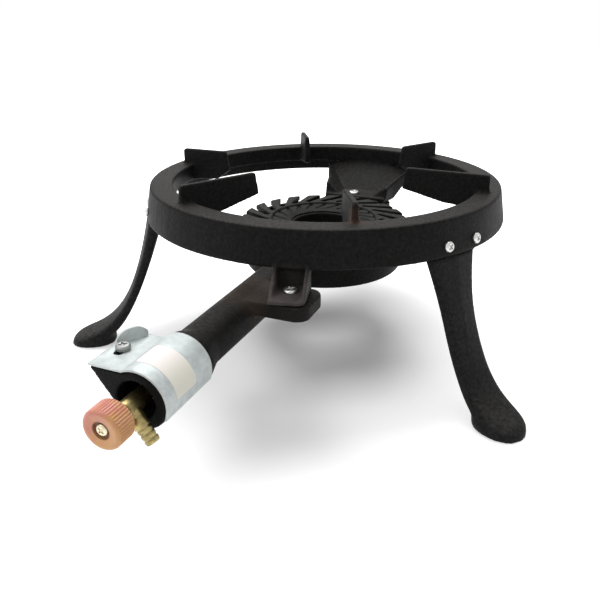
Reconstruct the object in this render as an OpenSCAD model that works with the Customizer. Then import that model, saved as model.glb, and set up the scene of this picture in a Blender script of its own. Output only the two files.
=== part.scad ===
// Cast-iron gas boiling ring for a stock pot: a ring on three bolted legs, a drum burner with a toothed cap,
// a mixing tube with a sliding air shutter, and a tap with a knob and a hose nozzle.
// Millimetres. +Z is up. The origin is on the floor under the middle of the ring.
// The mixing tube runs along -Y, and the rear bracket stands opposite it at +Y.

/* [Pot ring] */
// Radius of the ring's top edge
ring_r = 150; // [140:0.5:165]
// How much further out the bottom of the band stands than its top
band_flare = 5; // [3:0.5:7]
// Height of the ring's flat top above the floor
ring_top_z = 142.5; // [136:0.5:160]
// Height of the band
band_h = 27.5; // [25:0.5:31]
// Thickness of the band
band_wall = 5; // [4:0.25:6]
// Thickness of the flat top flange
flange_t = 5; // [4:0.25:6]
// Width of the flat top flange
flange_w = 19.5; // [18:0.5:23]
// Thickness of the lip round the inside
lip_t = 4.5; // [3.5:0.25:6]
// Depth of the lip under the ring's top
lip_h = 14.5; // [11:0.5:17]
// Radius of the casting's outer edges
cast_edge = 1.6; // [0.8:0.2:2.4]

/* [Pot fins] */
// Number of fins that carry the pot
fin_count = 6; // [6:6:6]
// Thickness of a fin along its top
fin_t = 4.4; // [3.5:0.1:5.5]
// Thickness of a fin at its foot
fin_foot_t = 6.6; // [5.6:0.1:8]
// Height of a fin's outer end over the ring's top
fin_rise = 14; // [10:0.5:18]
// How much higher a fin's inner end lies
fin_lift = 0.4; // [0:0.1:1.5]
// From the ring's edge in to a fin's outer end
fin_inset = 8.6; // [6:0.2:12]
// The same for the fin at the front right, which starts nearer the lip
fin_inset_front = 16.4; // [10:0.2:17]
// How far the two long fins reach in from the ring's top edge
fin_reach = 77.1; // [70:0.5:84]
// How far the three short fins reach in
fin_reach_short = 53.5; // [50:0.5:60]
// How far the fin on the left of the rear bracket reaches in
fin_reach_rear = 43.5; // [40:0.5:50]
// How far the lower inner corner undercuts the upper one
fin_nose_rake = 2.7; // [0:0.1:6]
// Depth of the lower inner corner under the ring's top
fin_nose_drop = 3.5; // [1:0.5:8]
// Deepest point of a fin's lower edge, in from the ring's top edge
fin_belly_in = 44; // [38:0.5:52]
// Depth of the belly under the ring's top
fin_belly_drop = 11.8; // [9:0.2:14]

/* [Legs] */
// Turn of the legs away from the middle between two fins, degrees
leg_turn = 1.8; // [-3:0.1:3]
// Thickness of a leg under the ring
leg_root_t = 14; // [12:0.5:16]
// Toe of a leg, out from the ring's top edge
toe_out = 84; // [72:0.5:95]
// Heel of a leg, out from the ring's top edge
heel_out = 41; // [33:0.5:49]
// Width of a leg's shank
shank_w = 32; // [26:0.5:36]
// Width of a leg where it meets the ring
leg_root_w = 47; // [44:0.5:52]
// Width of the foot
foot_w = 36; // [33:0.5:44]
// Height where the shank starts to widen towards the ring
root_blend_z = 68; // [60:1:80]
// Height where the shank starts to widen towards the foot
foot_blend_z = 30; // [20:1:40]
// Sideways lean of the right leg's toe
lean_right = -15.5; // [-18:0.5:5]
// Sideways lean of the left leg's toe
lean_left = 3; // [-5:0.5:18]
// Sideways lean of the rear leg's toe
lean_rear = 0; // [-10:0.5:10]
// Height of the crease down the front of a leg
leg_crease = 1.8; // [0.5:0.1:3]
// Width of the tab that the leg is bolted by
tab_w = 43; // [40:0.5:46]
// Thickness of the tab
tab_t = 7; // [5.5:0.25:8]
// Angle from the leg's middle to each screw, degrees
leg_screw_angle = 5.8; // [5.2:0.1:6.2]
// Height of the leg screws under the ring's top
leg_screw_drop = 19.7; // [18.5:0.1:20.5]

/* [Fasteners] */
// Shank diameter of the machine screws
screw_d = 5; // [4:0.1:5.4]
// Diameter of a leg screw's pan head
leg_head_d = 8.2; // [7.6:0.1:10]
// Diameter of a burner screw's pan head
burner_head_d = 10.8; // [9:0.1:11]
// Diameter of the clamp screw's pan head
clamp_head_d = 9; // [8:0.1:10]
// Height of a pan head
head_h = 2.4; // [2:0.1:3]
// Play all round a screw in a plain hole
hole_play = 0.3; // [0.2:0.05:0.5]
// Height of a nut
nut_h = 4; // [3:0.1:4.6]
// Width of a nut across its flats
nut_af = 8; // [7.5:0.1:8.8]
// Diameter of a washer
washer_d = 10; // [9:0.1:11]
// Thickness of a washer
washer_t = 1; // [0.6:0.1:1.4]
// Length of thread that stands out of a nut
thread_end = 1.4; // [0.8:0.1:2]

/* [Burner] */
// Outer radius of the drum at its bottom
drum_r = 70.5; // [66:0.5:71.5]
// Height of the drum's bottom above the floor
drum_bottom_z = 65; // [60:0.5:65.5]
// Height of the drum
drum_h = 36; // [35.5:0.25:37]
// How much wider the drum is at its top
drum_flare = 1.5; // [0:0.1:2.5]
// Wall of the drum
drum_wall = 5; // [4:0.25:6]
// Radius of the open hole up the drum's middle
core_r = 26.5; // [22:0.5:28]
// Radius of the cap's outer row of teeth
cap_r = 73.8; // [73:0.1:74.6]
// Height of the outer teeth
tooth_h = 5; // [4:0.1:5.4]
// Number of outer teeth
tooth_count = 22; // [18:1:24]
// Width of a flame slot at its inner end
slot_w = 4.2; // [3:0.1:5]
// Width of a flame slot at the rim
slot_rim_w = 8.2; // [6:0.1:9]
// Slant of the flame slots from the radius, degrees
slot_slant = 38; // [25:1:45]
// Radius where the outer teeth end inwards
tooth_root_r = 49; // [47:0.5:52]
// Radius of the cap's inner row of teeth
inner_row_r = 46; // [42:0.5:46.5]
// Height of the cap's inner row
inner_row_h = 3; // [2.4:0.1:3.4]
// Number of inner teeth
inner_count = 22; // [14:1:22]
// Width of the slots in the inner row
inner_slot_w = 3; // [2:0.1:4]

/* [Mixing tube] */
// Height of the tube's axis above the floor
tube_z = 83.5; // [82.8:0.1:83.6]
// Outer radius of the tube at the drum
tube_r = 15.6; // [15:0.1:17]
// Outer radius at the tube's waist
waist_r = 15; // [14:0.1:16]
// Distance of the waist from the ring's axis
waist_s = 221; // [210:1:224]
// Outer radius of the barrel that the shutter slides on
barrel_r = 18.2; // [17.6:0.1:18.8]
// How far the barrel stands to the right of the tube's axis
barrel_shift = 1.2; // [0.4:0.1:1.6]
// Distance from the ring's axis to where the barrel begins
barrel_s = 236; // [230:0.5:236]
// Distance from the ring's axis to the tube's mouth
mouth_s = 288; // [284:0.5:292]
// Radius of the tube's bore
bore_r = 11; // [9.5:0.1:11.4]
// Radius of the bore in the mouth
mouth_bore_r = 12.2; // [11.8:0.1:12.6]
// Length of the wide bore in the mouth
mouth_bore_len = 52; // [48:0.5:56]
// Distance of the mouth's flat side from the tube's axis
flat_side_d = 14.2; // [14:0.1:14.6]
// Direction of the flat side, degrees from +X towards +Z
flat_side_angle = 216; // [212:0.5:220]
// Length of the mouth's clamp wing along the tube
wing_len = 38; // [34:0.5:42]
// Width of the bridge bar in the mouth
bridge_w = 7; // [5:0.5:9]
// Thickness of the bridge along the tube
bridge_t = 8; // [6:0.5:10]
// Radius of the bridge's boss
bridge_boss_r = 7.4; // [7:0.1:7.8]
// From the mouth in to the bridge's front
bridge_inset = 18; // [16:0.5:19]

/* [Burner fixings] */
// Turn of the front bracket from the tube, degrees
bracket_turn = 12.5; // [11.5:0.1:13.5]
// Front burner screw, out from the ring's top edge
front_screw_out = 8.7; // [8.2:0.1:10]
// Width of the front bracket's foot over its ribs
bracket_w = 25.6; // [24:0.2:27]
// Thickness of the bracket's foot
bracket_foot_t = 3.4; // [3:0.1:4]
// Front end of the front bracket's foot, out from the ring's top edge
bracket_reach = 27; // [24:0.5:29]
// Thickness of the bracket's web
bracket_web_t = 4; // [3:0.1:5]
// Thickness of each bracket rib
bracket_rib_t = 3; // [2.4:0.1:3.6]
// Drop of the bracket's foot under the band
bracket_drop = 14.5; // [14:0.1:15.5]
// Thickness of the ear on the tube
ear_t = 10.5; // [9:0.1:12]
// Half the ear's length along the tube
ear_half = 18.6; // [17:0.1:20]
// From the front screw out to the ear's end
ear_reach = 18.6; // [17:0.2:21]
// Radius of the ear's corners
ear_corner = 10; // [7:0.5:12]
// Rear burner screw, out from the drum's side
rear_screw_out = 15.5; // [14.5:0.1:16.5]
// Depth of the rear bracket's foot under the ring's top
rear_foot_drop = 36.6; // [36.4:0.1:37]
// Thickness of the rear bracket
rear_arm_t = 5; // [4:0.1:5.4]
// Width of the rear bracket at the ring
rear_arm_root_w = 96; // [92:0.5:98]
// Width of the rear bracket at its foot, over its side walls
rear_arm_foot_w = 69.5; // [68:0.5:72]
// Width of the flat floor between the side walls
rear_floor_w = 35; // [30:0.5:38]
// How far the rear bracket's foot and the lug stand to the right
rear_shift = 3.3; // [0:0.1:4]
// Bend of the rear bracket, out from the rear burner screw
rear_bend_out = 11; // [9.5:0.5:13]
// Tip of the rear bracket, in from the rear burner screw
rear_tip_in = 9; // [8:0.2:9.6]
// Height of the side walls over the foot
rear_wall_h = 12; // [8:0.5:13]
// Outward lean of the side walls' inner faces, degrees
rear_wall_lean = 52; // [46:1:53]
// Thickness of the rear lug on the drum
rear_lug_t = 10; // [8:0.5:12]
// Width of the rear lug
rear_lug_w = 68; // [60:0.5:72]
// From the rear burner screw to the lug's end
rear_lug_end = 8; // [7:0.5:10]

/* [Air shutter] */
// Thickness of the shutter's sheet
sheet_t = 1.2; // [0.8:0.1:1.6]
// Play between the sheet and the barrel
sheet_play = 0.3; // [0.2:0.05:0.5]
// Length of the shutter along the tube
shutter_len = 47.5; // [44:0.5:48]
// How far the shutter stands out of the mouth
shutter_front = 0.5; // [0:0.1:2]
// Angle where the sheet ends under the barrel, degrees
sheet_low_angle = -24; // [-40:1:-16]
// Angle where the sheet leaves the barrel at the top, degrees
sheet_top_angle = 112; // [108:0.5:116]
// Height of the flat wing's top over the tube's axis
flat_top = 17.8; // [17.5:0.1:18.1]
// Distance of the flat wing's left edge from the tube's axis
flat_edge_x = 29; // [28.4:0.1:30]
// Length of the flat wing from the shutter's front
flat_len = 42; // [40:0.5:44]
// Distance of the flat wing's rear corner from the tube's axis
flat_rear_x = 18; // [17.5:0.1:19]
// From the shutter's front to where the wing's left edge turns in
flat_straight = 21; // [20:0.5:23]
// Height of the thumb tab
thumb_h = 8; // [5:0.2:11]
// Length of the thumb tab
thumb_len = 20; // [16:0.5:22]
// Distance of the clamp screw from the tube's axis
clamp_x = 20.4; // [20:0.1:20.6]
// From the mouth back to the clamp screw
clamp_inset = 20; // [18.5:0.5:22]
// Depth of the clamp screw's hole in the wing
clamp_depth = 8; // [7.5:0.1:8.2]
// Width of the slot for the clamp screw
clamp_slot_w = 6; // [5.7:0.1:6.4]
// Travel of the shutter back from its place
travel_back = 4.5; // [3:0.5:4.5]
// Travel of the shutter forward from its place
travel_front = 0; // [0:0.5:1]

/* [Tap] */
// Diameter of the tap's threaded shank
shank_d = 10; // [9:0.1:10.2]
// Reach of the shank past the rear of the bridge
shank_tail = 9; // [8:0.5:11]
// Diameter of the tap's body
body_d = 11; // [10.8:0.1:12]
// Length of the tap's body
body_len = 13; // [12:0.1:13.6]
// Distance from the ring's axis to the body's front end
body_front_s = 299.5; // [299.2:0.1:301]
// Thickness of each locknut
locknut_t = 4.5; // [3.5:0.1:5]
// Width of a locknut across its flats
locknut_af = 12.6; // [12:0.1:13]
// Tilt of the hose nozzle from straight down, degrees
nozzle_tilt = 35; // [25:1:40]
// Distance of the nozzle from the body's front end
nozzle_back = 5.7; // [5.5:0.1:6.2]
// Reach of the nozzle from the tap's axis
nozzle_reach = 23.5; // [22:0.5:30]
// Radius of the nozzle's collar
collar_r = 4.8; // [4.6:0.1:5]
// Distance from the tap's axis to the end of the collar
collar_end = 13; // [12:0.1:14]
// Radius of the hose tail over its barbs
barb_r = 4.3; // [4:0.05:4.5]
// Depth of the grooves between the barbs
barb_depth = 0.5; // [0.3:0.05:0.7]
// Number of barbs
barb_count = 3; // [2:1:4]
// Radius of the gas way through the nozzle
gas_r = 2; // [1.4:0.1:2.4]
// Width of the gland nut across its flats
gland_af = 11.6; // [11:0.1:12.4]
// Length of the gland nut
gland_len = 3.8; // [3.4:0.1:5]
// Diameter of the spindle
spindle_d = 6; // [5:0.1:6.4]
// Running clearance round the spindle
spindle_play = 0.06; // [0.03:0.01:0.09]
// Radius of the O-ring's cord
oring_cord_r = 0.8; // [0.6:0.05:0.9]

/* [Knob] */
// Diameter of the knob
knob_d = 24.4; // [23:0.2:28]
// Length of the knob
knob_len = 13.6; // [12:0.2:16]
// Gap between the knob and the gland nut
knob_gap = 1.2; // [0.5:0.1:1.6]
// Number of ribs round the knob
rib_count = 44; // [24:1:60]
// Depth of the ribs
rib_depth = 0.5; // [0.2:0.05:0.9]
// Radius of the rounded edge round the knob's front
knob_bevel = 2.8; // [1.6:0.1:3.2]
// Diameter of the recess in the knob's front
recess_d = 10.6; // [9.4:0.1:11.4]
// Depth of the recess
recess_h = 2.6; // [2.2:0.1:3.4]
// Head diameter of the knob screw
knob_head_d = 7.2; // [6.4:0.1:8]
// Head height of the knob screw
knob_head_h = 2; // [1.4:0.1:2.2]
// Shank diameter of the knob screw
knob_screw_d = 3; // [2.5:0.1:3.4]
// Length of the knob screw
knob_screw_len = 8; // [6:0.5:10]

/* [Hidden] */

$fn = 96;
seat = 0.1;        // air between pieces that are screwed face to face
eps = 0.01;        // overlap that joins two solids
fan = 8;           // steps in a rounded edge

cast_black = [0.13, 0.13, 0.135];
bright_zinc = [0.78, 0.80, 0.82];
brass_yellow = [0.62, 0.53, 0.30];
knob_red = [0.87, 0.50, 0.42];
seal_black = [0.08, 0.08, 0.08];

// Ring
band_bottom_z = ring_top_z - band_h;
band_angle = atan(band_flare / band_h);
lip_r = ring_r - flange_w;
function band_r(drop) = ring_r + band_flare * drop / band_h;

// Fins
fin_insets = [fin_inset, fin_inset, fin_inset, fin_inset, fin_inset, fin_inset_front];
fin_reaches = [fin_reach, fin_reach_short, fin_reach_rear, fin_reach_short, fin_reach, fin_reach_short];
fin_belly_r = ring_r - fin_belly_in;
fin_top_z = ring_top_z + fin_rise;

// Legs
leg_angles = [-30 + leg_turn, -150 + leg_turn, 90 + leg_turn];
leg_top_z = band_bottom_z - seat;
toe_r = ring_r + toe_out;
heel_r = ring_r + heel_out;
knee_r = ring_r + 33;
leg_screw_z = ring_top_z - leg_screw_drop;
hole_r = screw_d / 2 + hole_play;
thread_r = screw_d / 2;
tab_front = band_wall * cos(band_angle) + seat;     // from the band's face in to the tab
tab_back = tab_front + tab_t;
nut_seat = tab_back + washer_t;
leg_screw_len = nut_seat + nut_h + thread_end;

// Burner
drum_top_z = drum_bottom_z + drum_h;
cap_bottom_z = drum_top_z;
core_wall_r = core_r + drum_wall;
chamber_bottom_z = drum_bottom_z + drum_wall;

// Front bracket and ear
bracket_foot_z = band_bottom_z - bracket_drop;
ear_top_z = bracket_foot_z - bracket_foot_t - seat;
front_screw_r = ring_r + front_screw_out;
bracket_end_r = ring_r + bracket_reach;
front_screw_x = front_screw_r * sin(bracket_turn);
front_screw_y = -front_screw_r * cos(bracket_turn);
front_screw_len = bracket_foot_t + seat + ear_t + nut_h + thread_end;

// Rear bracket and lug
rear_screw_r = drum_r + rear_screw_out;
rear_bend_r = rear_screw_r + rear_bend_out;
rear_tip_r = rear_screw_r - rear_tip_in;
rear_foot_z = ring_top_z - rear_foot_drop;
rear_lug_top_z = rear_foot_z - rear_arm_t - seat;
rear_screw_len = rear_arm_t + seat + rear_lug_t + nut_h + thread_end;

// Mouth, shutter and clamp
sheet_in_r = barrel_r + sheet_play;
sheet_out_r = sheet_in_r + sheet_t;
wing_top = flat_top - sheet_t - sheet_play;
shutter_s = mouth_s + shutter_front;
clamp_s = mouth_s - clamp_inset;
clamp_head_z = tube_z + flat_top + seat + washer_t;
clamp_screw_len = washer_t + seat + sheet_t + sheet_play + clamp_depth - 0.6;
slot_slack = clamp_slot_w / 2 - thread_r;
slot_front_s = clamp_s + travel_back - slot_slack + seat;
slot_back_s = clamp_s - travel_front + slot_slack - seat;
fold_from = [-flat_edge_x, flat_straight - shutter_s];
fold_to = [-flat_rear_x, flat_len - shutter_s];
fold_angle = atan2(fold_to[1] - fold_from[1], fold_to[0] - fold_from[0]);

// Tap
bridge_front_s = mouth_s - bridge_inset;
bridge_back_s = bridge_front_s - bridge_t;
shank_end_s = bridge_back_s - shank_tail;
body_back_s = body_front_s - body_len;
nozzle_s = body_front_s - nozzle_back;
gland_front_s = body_front_s + gland_len;
knob_back_s = gland_front_s + knob_gap;
knob_front_s = knob_back_s + knob_len;
recess_floor_s = knob_front_s - recess_h;
spindle_r = spindle_d / 2;
spindle_bore_r = spindle_r + spindle_play;
spindle_back_s = body_front_s - 10;
oring_s = body_front_s - 4;
groove_r = spindle_bore_r - seat / 2 - 2 * oring_cord_r;

// ---------- shared shapes ----------

// Points of an arc about [x, y].
function arc(x, y, r, from, to, steps = 8) = [for (i = [0:steps]) let (a = from + (to - from) * i / steps)
    [x + r * cos(a), y + r * sin(a)]];

// Puts a shape built along +Z onto the tube's axis, running away from the ring's axis.
module along_tube(s = 0) {
    translate([0, -s, tube_z]) rotate([90, 0, 0]) children();
}

module tube_part(r, s_from, s_to) {
    along_tube(s_from) cylinder(h = s_to - s_from, r = r);
}

// Extrudes an outline drawn across the tube, x to the right and z up from the tube's axis.
module across_tube(s_from, s_to) {
    translate([0, -s_from, tube_z]) rotate([90, 0, 0]) linear_extrude(s_to - s_from) children();
}

// A pan-head screw: the head stands on z = 0 and the shank goes down.
module pan_screw(d, length, head_width, head_height) {
    recess_w = head_width * 0.14;
    difference() {
        union() {
            translate([0, 0, -length]) cylinder(h = length + eps, d = d);
            rotate_extrude() polygon(concat(
                [[0, 0], [head_width / 2, 0]],
                [for (i = [0:fan]) let (a = 90 * i / fan)
                    [head_width / 2 - head_height * 0.7 * (1 - cos(a)),
                     head_height * 0.3 + head_height * 0.7 * sin(a)]],
                [[0, head_height]]));
        }
        for (a = [45, 135]) rotate([0, 0, a])
            translate([0, 0, head_height]) cube([head_width * 0.55, recess_w, head_height * 0.9], center = true);
    }
}

// A hexagon nut that stands on z = 0.
module hex_nut(af, h, bore) {
    difference() {
        intersection() {
            cylinder(h = h, r = af / sqrt(3), $fn = 6);
            rotate_extrude() polygon([[0, 0], [af / 2, 0], [af / sqrt(3), af * 0.045],
                [af / sqrt(3), h - af * 0.045], [af / 2, h], [0, h]]);
        }
        translate([0, 0, -1]) cylinder(h = h + 2, r = bore);
    }
}

module washer(d, h, bore) {
    difference() {
        cylinder(h = h, d = d);
        translate([0, 0, -1]) cylinder(h = h + 2, r = bore);
    }
}

// Places a fixing square to the band's sloped face, with +Z pointing out of it.
module on_band(angle) {
    rotate([0, 0, angle]) translate([band_r(leg_screw_drop), 0, leg_screw_z])
        rotate([0, 90 - band_angle, 0]) children();
}

module at_leg_screws(leg_angle) {
    for (side = [-1, 1]) on_band(leg_angle + side * leg_screw_angle) children();
}

module at_front_screw(z) {
    translate([front_screw_x, front_screw_y, z]) children();
}

module at_rear_screw(z) {
    translate([0, rear_screw_r, z]) children();
}

// ---------- pot ring ----------

// Band, flange and lip, turned about the ring's axis.
module ring_channel() {
    rotate_extrude($fn = 180) polygon(concat(
        [for (i = [0:fan]) let (a = 90 * i / fan)
            [band_r(cast_edge) - cast_edge * (1 - sin(a)), ring_top_z - cast_edge * (1 - cos(a))]],
        [[band_r(band_h - cast_edge / 2), band_bottom_z + cast_edge / 2],
         [band_r(band_h) - cast_edge / 2, band_bottom_z],
         [band_r(band_h) - band_wall, band_bottom_z], [band_r(flange_t) - band_wall, ring_top_z - flange_t],
         [lip_r + lip_t, ring_top_z - flange_t], [lip_r + lip_t, ring_top_z - lip_h],
         [lip_r, ring_top_z - lip_h], [lip_r, ring_top_z - cast_edge / 2],
         [lip_r + cast_edge / 2, ring_top_z]]));
}

// A fin thins towards its top, as a casting must to leave the mould.
module fin(reach, inset) {
    outer_r = ring_r - inset;
    nose_r = ring_r - reach;
    foot_z = ring_top_z - lip_h;
    top_z = fin_top_z + fin_lift;
    intersection() {
        rotate([90, 0, 0]) linear_extrude(2 * fin_foot_t, center = true) polygon([
            [outer_r, ring_top_z - 1], [outer_r, fin_top_z - 1.5], [outer_r - 1.5, fin_top_z],
            [nose_r + 1, top_z], [nose_r, top_z - 1], [nose_r - fin_nose_rake, ring_top_z - fin_nose_drop],
            [fin_belly_r, ring_top_z - fin_belly_drop], [lip_r + 1, foot_z + 0.5],
            [lip_r + 1, ring_top_z - 1]]);
        rotate([90, 0, 90]) linear_extrude(ring_r) polygon([
            [-fin_foot_t / 2, foot_z], [fin_foot_t / 2, foot_z], [fin_t / 2, top_z], [-fin_t / 2, top_z]]);
    }
}

// Scoop-like arm that comes down from the lip to the burner's rear lug, with a thick wall on each side.
module rear_bracket() {
    root_r = lip_r + lip_t / 2;
    root_z = ring_top_z - lip_h;
    foot_under_z = rear_foot_z - rear_arm_t;
    rise = root_z - rear_foot_z;
    slope = rise / (lip_r - rear_bend_r);
    under = rear_arm_t * sqrt(1 + slope * slope);
    under_bend_r = rear_bend_r + (under - rear_arm_t) / slope;
    root_under_z = rear_foot_z + slope * (root_r - rear_bend_r) - under;
    half_w = rear_arm_foot_w / 2;
    tip_inset = 4;
    void_h = rise + 6;
    void_half_w = rear_floor_w / 2 + void_h * tan(rear_wall_lean);
    intersection() {
        translate([rear_shift, 0, foot_under_z - 1]) linear_extrude(rear_foot_drop) polygon([
            [-rear_arm_root_w / 2, root_r], [-half_w, rear_bend_r], [-half_w + tip_inset, rear_tip_r],
            [half_w - tip_inset, rear_tip_r], [half_w, rear_bend_r], [rear_arm_root_w / 2, root_r]]);
        union() {
            rotate([90, 0, 90]) linear_extrude(2 * rear_arm_root_w, center = true) polygon([
                [root_r, root_z + 1], [lip_r, root_z + 1], [lip_r, root_z], [rear_bend_r, rear_foot_z],
                [rear_tip_r, rear_foot_z], [rear_tip_r, foot_under_z], [under_bend_r, foot_under_z],
                [root_r, root_under_z]]);
            difference() {
                rotate([90, 0, 90]) linear_extrude(2 * rear_arm_root_w, center = true) polygon([
                    [root_r, root_z + 1], [lip_r - 6, root_z + 1], [rear_bend_r, rear_foot_z + rear_wall_h],
                    [rear_tip_r + 6, rear_foot_z + rear_wall_h - 3], [rear_tip_r + 3, rear_foot_z],
                    [rear_tip_r + 3, foot_under_z + 0.5], [under_bend_r, foot_under_z + 0.5],
                    [root_r, root_under_z + 0.5]]);
                translate([rear_shift, root_r + 1, rear_foot_z]) rotate([90, 0, 0]) linear_extrude(root_r)
                    polygon([[-rear_floor_w / 2, 0], [rear_floor_w / 2, 0],
                             [void_half_w, void_h], [-void_half_w, void_h]]);
            }
        }
        cylinder(h = 2 * ring_top_z, r = root_r);
    }
}

// Short step that hangs outside the band beside the mixing tube and carries the front burner screw.
module front_bracket() {
    inner_r = band_r(band_h) - band_wall - bracket_web_t;
    foot_bottom_z = bracket_foot_z - bracket_foot_t;
    corner = 6;
    half_w = bracket_w / 2;
    rotate([0, 0, bracket_turn - 90]) {
        // foot with one round corner
        translate([0, 0, foot_bottom_z]) linear_extrude(bracket_foot_t) polygon(concat(
            [[inner_r, half_w], [inner_r, -half_w], [bracket_end_r, -half_w]],
            arc(bracket_end_r - corner, half_w - corner, corner, 0, 90)));
        // web under the band
        translate([inner_r, -half_w + 0.5, foot_bottom_z + 1])
            cube([bracket_web_t + 1.5, bracket_w - 1, band_bottom_z + 3 - foot_bottom_z]);
        // two ribs
        for (side = [-1, 1]) translate([0, side * (half_w - bracket_rib_t / 2), 0])
            rotate([90, 0, 0]) linear_extrude(bracket_rib_t, center = true) polygon([
                [inner_r + 1, foot_bottom_z + 2], [inner_r + 1, band_bottom_z + 3],
                [band_r(band_h) + 0.6, band_bottom_z + 3], [bracket_end_r - 2, bracket_foot_z - 0.5],
                [bracket_end_r - 2, foot_bottom_z + 2]]);
    }
}

module pot_ring() {
    color(cast_black) difference() {
        union() {
            ring_channel();
            for (i = [0:fin_count - 1]) rotate([0, 0, i * 360 / fin_count])
                fin(fin_reaches[i], fin_insets[i]);
            rear_bracket();
            front_bracket();
        }
        for (a = leg_angles) at_leg_screws(a)
            translate([0, 0, -2 * band_wall]) cylinder(h = 4 * band_wall, r = hole_r);
        at_front_screw(bracket_foot_z - 2 * bracket_foot_t) cylinder(h = 4 * bracket_foot_t, r = hole_r);
        at_rear_screw(rear_foot_z - 2 * rear_arm_t) cylinder(h = 4 * rear_arm_t, r = hole_r);
    }
}

// ---------- legs ----------

// Cubic curve of the leg's side view; t runs from the ring (0) to the floor (1).
function curve(p, t) = pow(1 - t, 3) * p[0] + 3 * pow(1 - t, 2) * t * p[1] + 3 * (1 - t) * t * t * p[2]
    + pow(t, 3) * p[3];
function leg_height(t) = curve([leg_top_z, -0.1 * leg_top_z, 0.19 * leg_top_z, 0], t);
function leg_front(t) = curve([band_r(band_h), knee_r, toe_r - 11.5, toe_r], t);
function leg_back(t) = curve([band_r(band_h) - leg_root_t, knee_r, heel_r + 8.5, heel_r], t);
function leg_width(z) = shank_w
    + (leg_root_w - shank_w) * pow(max(0, z - root_blend_z) / (leg_top_z - root_blend_z), 1.6)
    + (foot_w - shank_w) * pow(max(0, foot_blend_z - z) / foot_blend_z, 1.4);

// One level slice of the leg as a rounded outline with a crease down the front.
function leg_slice(t, sides, lean) =
    let (z = leg_height(t), w = leg_width(z) / 2, front = leg_front(t), back = leg_back(t),
         mid = (front + back) / 2, half = (front - back) / 2, soft = 0.42 + 0.5 * pow(t, 3),
         sole = t > 0.999 ? 1.6 : 0, shift = lean * (0.43 + 0.57 * t))
    [for (i = [0:sides - 1])
        let (a = 360 * i / sides, c = cos(a), s = sin(a),
             across = (w - sole) * sign(s) * pow(abs(s), soft),
             deep = (half - sole) * sign(c) * pow(abs(c), soft),
             crease = c > 0 ? leg_crease * (1 - t) * abs(across) / w * pow(abs(c), soft) : 0)
        [mid + deep - crease, across + shift, z]];

module leg_blade(lean) {
    sides = 24;
    steps = 20;
    slices = [for (j = [0:steps]) leg_slice(j < steps ? 0.985 * pow(j / steps, 1.5) : 1, sides, lean)];
    points = [for (slice = slices) each slice];
    walls = [for (j = [0:steps - 1]) for (i = [0:sides - 1]) let (k = (i + 1) % sides)
        [j * sides + i, j * sides + k, (j + 1) * sides + k, (j + 1) * sides + i]];
    top = [for (i = [0:sides - 1]) sides - 1 - i];
    sole = [for (i = [0:sides - 1]) steps * sides + i];
    polyhedron(points = points, faces = concat([top], walls, [sole]), convexity = 4);
}

// Tab that stands up inside the ring's channel against the band.
module leg_tab() {
    low_drop = band_h + 4;
    high_drop = flange_t + seat;
    slope_t = tab_t / cos(band_angle);
    intersection() {
        rotate_extrude($fn = 180) polygon([
            [band_r(low_drop) - band_wall - seat, ring_top_z - low_drop],
            [band_r(high_drop) - band_wall - seat, ring_top_z - high_drop],
            [band_r(high_drop) - band_wall - seat - slope_t, ring_top_z - high_drop],
            [band_r(low_drop) - band_wall - seat - slope_t, ring_top_z - low_drop]]);
        translate([0, -tab_w / 2, 0]) cube([2 * ring_r, tab_w, ring_top_z]);
    }
}

module leg(lean) {
    difference() {
        union() {
            leg_blade(lean);
            leg_tab();
        }
        at_leg_screws(0) {
            translate([0, 0, -3 * band_wall]) cylinder(h = 4 * band_wall, r = hole_r);
            // flat spot for the washer
            translate([0, 0, -tab_back - 3]) cylinder(h = 3 + seat, d = washer_d + 1);
        }
    }
}

module leg_right() {
    color(cast_black) rotate([0, 0, leg_angles[0]]) leg(lean_right);
}

module leg_left() {
    color(cast_black) rotate([0, 0, leg_angles[1]]) leg(lean_left);
}

module leg_rear() {
    color(cast_black) rotate([0, 0, leg_angles[2]]) leg(lean_rear);
}

module leg_screws() {
    color(bright_zinc) for (a = leg_angles) at_leg_screws(a) pan_screw(screw_d, leg_screw_len, leg_head_d, head_h);
}

module leg_washers() {
    color(bright_zinc) for (a = leg_angles) at_leg_screws(a)
        translate([0, 0, -nut_seat + seat]) washer(washer_d, washer_t, hole_r);
}

module leg_nuts() {
    color(bright_zinc) for (a = leg_angles) at_leg_screws(a)
        translate([0, 0, -nut_seat - nut_h + seat]) hex_nut(nut_af, nut_h, thread_r);
}

// ---------- burner ----------

// Outside of the drum, solid.
module drum() {
    rotate_extrude($fn = 144) polygon([
        [0, drum_bottom_z], [drum_r - cast_edge, drum_bottom_z], [drum_r, drum_bottom_z + cast_edge],
        [drum_r + drum_flare, drum_top_z], [0, drum_top_z]]);
}

// Ring-shaped space inside the drum.
module chamber() {
    rotate_extrude($fn = 144) polygon([
        [core_wall_r, chamber_bottom_z], [drum_r - drum_wall, chamber_bottom_z],
        [drum_r + drum_flare - drum_wall, drum_top_z + 1], [core_wall_r, drum_top_z + 1]]);
}

// The tube narrows to its waist; the barrel beyond it stands a little to the right.
module tube_outside() {
    mouth_edge = 0.8;
    along_tube() rotate_extrude() polygon([
        [0, drum_r - 2 * drum_wall], [tube_r, drum_r - 2 * drum_wall], [waist_r, waist_s],
        [waist_r, barrel_s + 1], [0, barrel_s + 1]]);
    translate([barrel_shift, 0, 0]) along_tube() rotate_extrude() polygon([
        [0, waist_s], [waist_r - barrel_shift - seat, waist_s], [barrel_r, barrel_s],
        [barrel_r, mouth_s - mouth_edge], [barrel_r - mouth_edge, mouth_s], [0, mouth_s]]);
}

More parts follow.
